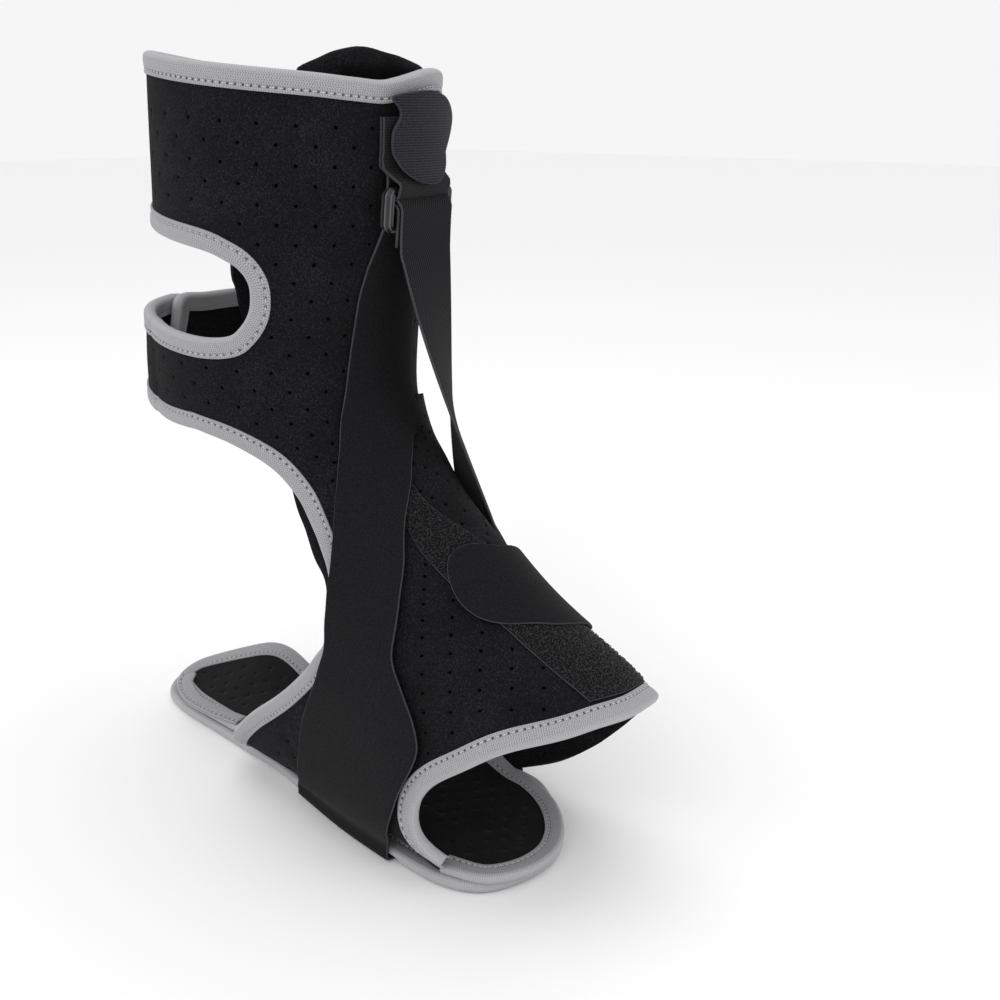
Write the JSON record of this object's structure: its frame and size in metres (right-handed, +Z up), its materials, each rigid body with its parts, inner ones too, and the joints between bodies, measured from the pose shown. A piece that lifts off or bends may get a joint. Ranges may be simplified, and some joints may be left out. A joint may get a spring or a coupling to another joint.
{
  "type": "foot drop brace",
  "caption": "Boot-shaped neoprene ankle and foot splint with open heel and toes, bound edges, a lifting strap to a shin ring, and a flat sole.",
  "frame": {"origin": "on the floor under the leg axis, on the flat underside of the sole", "axes": "+X towards the toes, +Y to the far side of the picture, +Z up along the leg"},
  "size_m": [0.3174, 0.1278, 0.3527],
  "materials": {
    "neoprene": "perforated, brushed cloth face",
    "lining": "smooth knitted cloth",
    "grey_binding": "ribbed elastic tape",
    "plush_strap": "short brushed pile",
    "webbing": "fine woven tape",
    "hook_tape": "ribbed hook tape",
    "loop_tape": "coarse curly loops",
    "ring_plastic": "satin moulded",
    "stay_metal": "brushed"
  },
  "bodies": {
    "root": {"leg_wrap": "neoprene", "foot_wrap": "neoprene", "lower_strap": "neoprene", "sole_pad": "neoprene", "sole_panel": "lining", "shin_sleeve": "lining", "edge_binding": "grey_binding", "toe_binding": "grey_binding", "lower_binding": "grey_binding", "pad_binding": "grey_binding", "heel_binding": "grey_binding", "ball_binding": "grey_binding", "lifting_strap": "plush_strap", "foot_tab": "plush_strap", "adjuster_strap": "webbing", "hook_tab": "hook_tape", "loop_strip": "loop_tape", "strap_ring": "ring_plastic", "shin_stay": "stay_metal", "sole_plate": "stay_metal"}
  },
  "joints": []
}
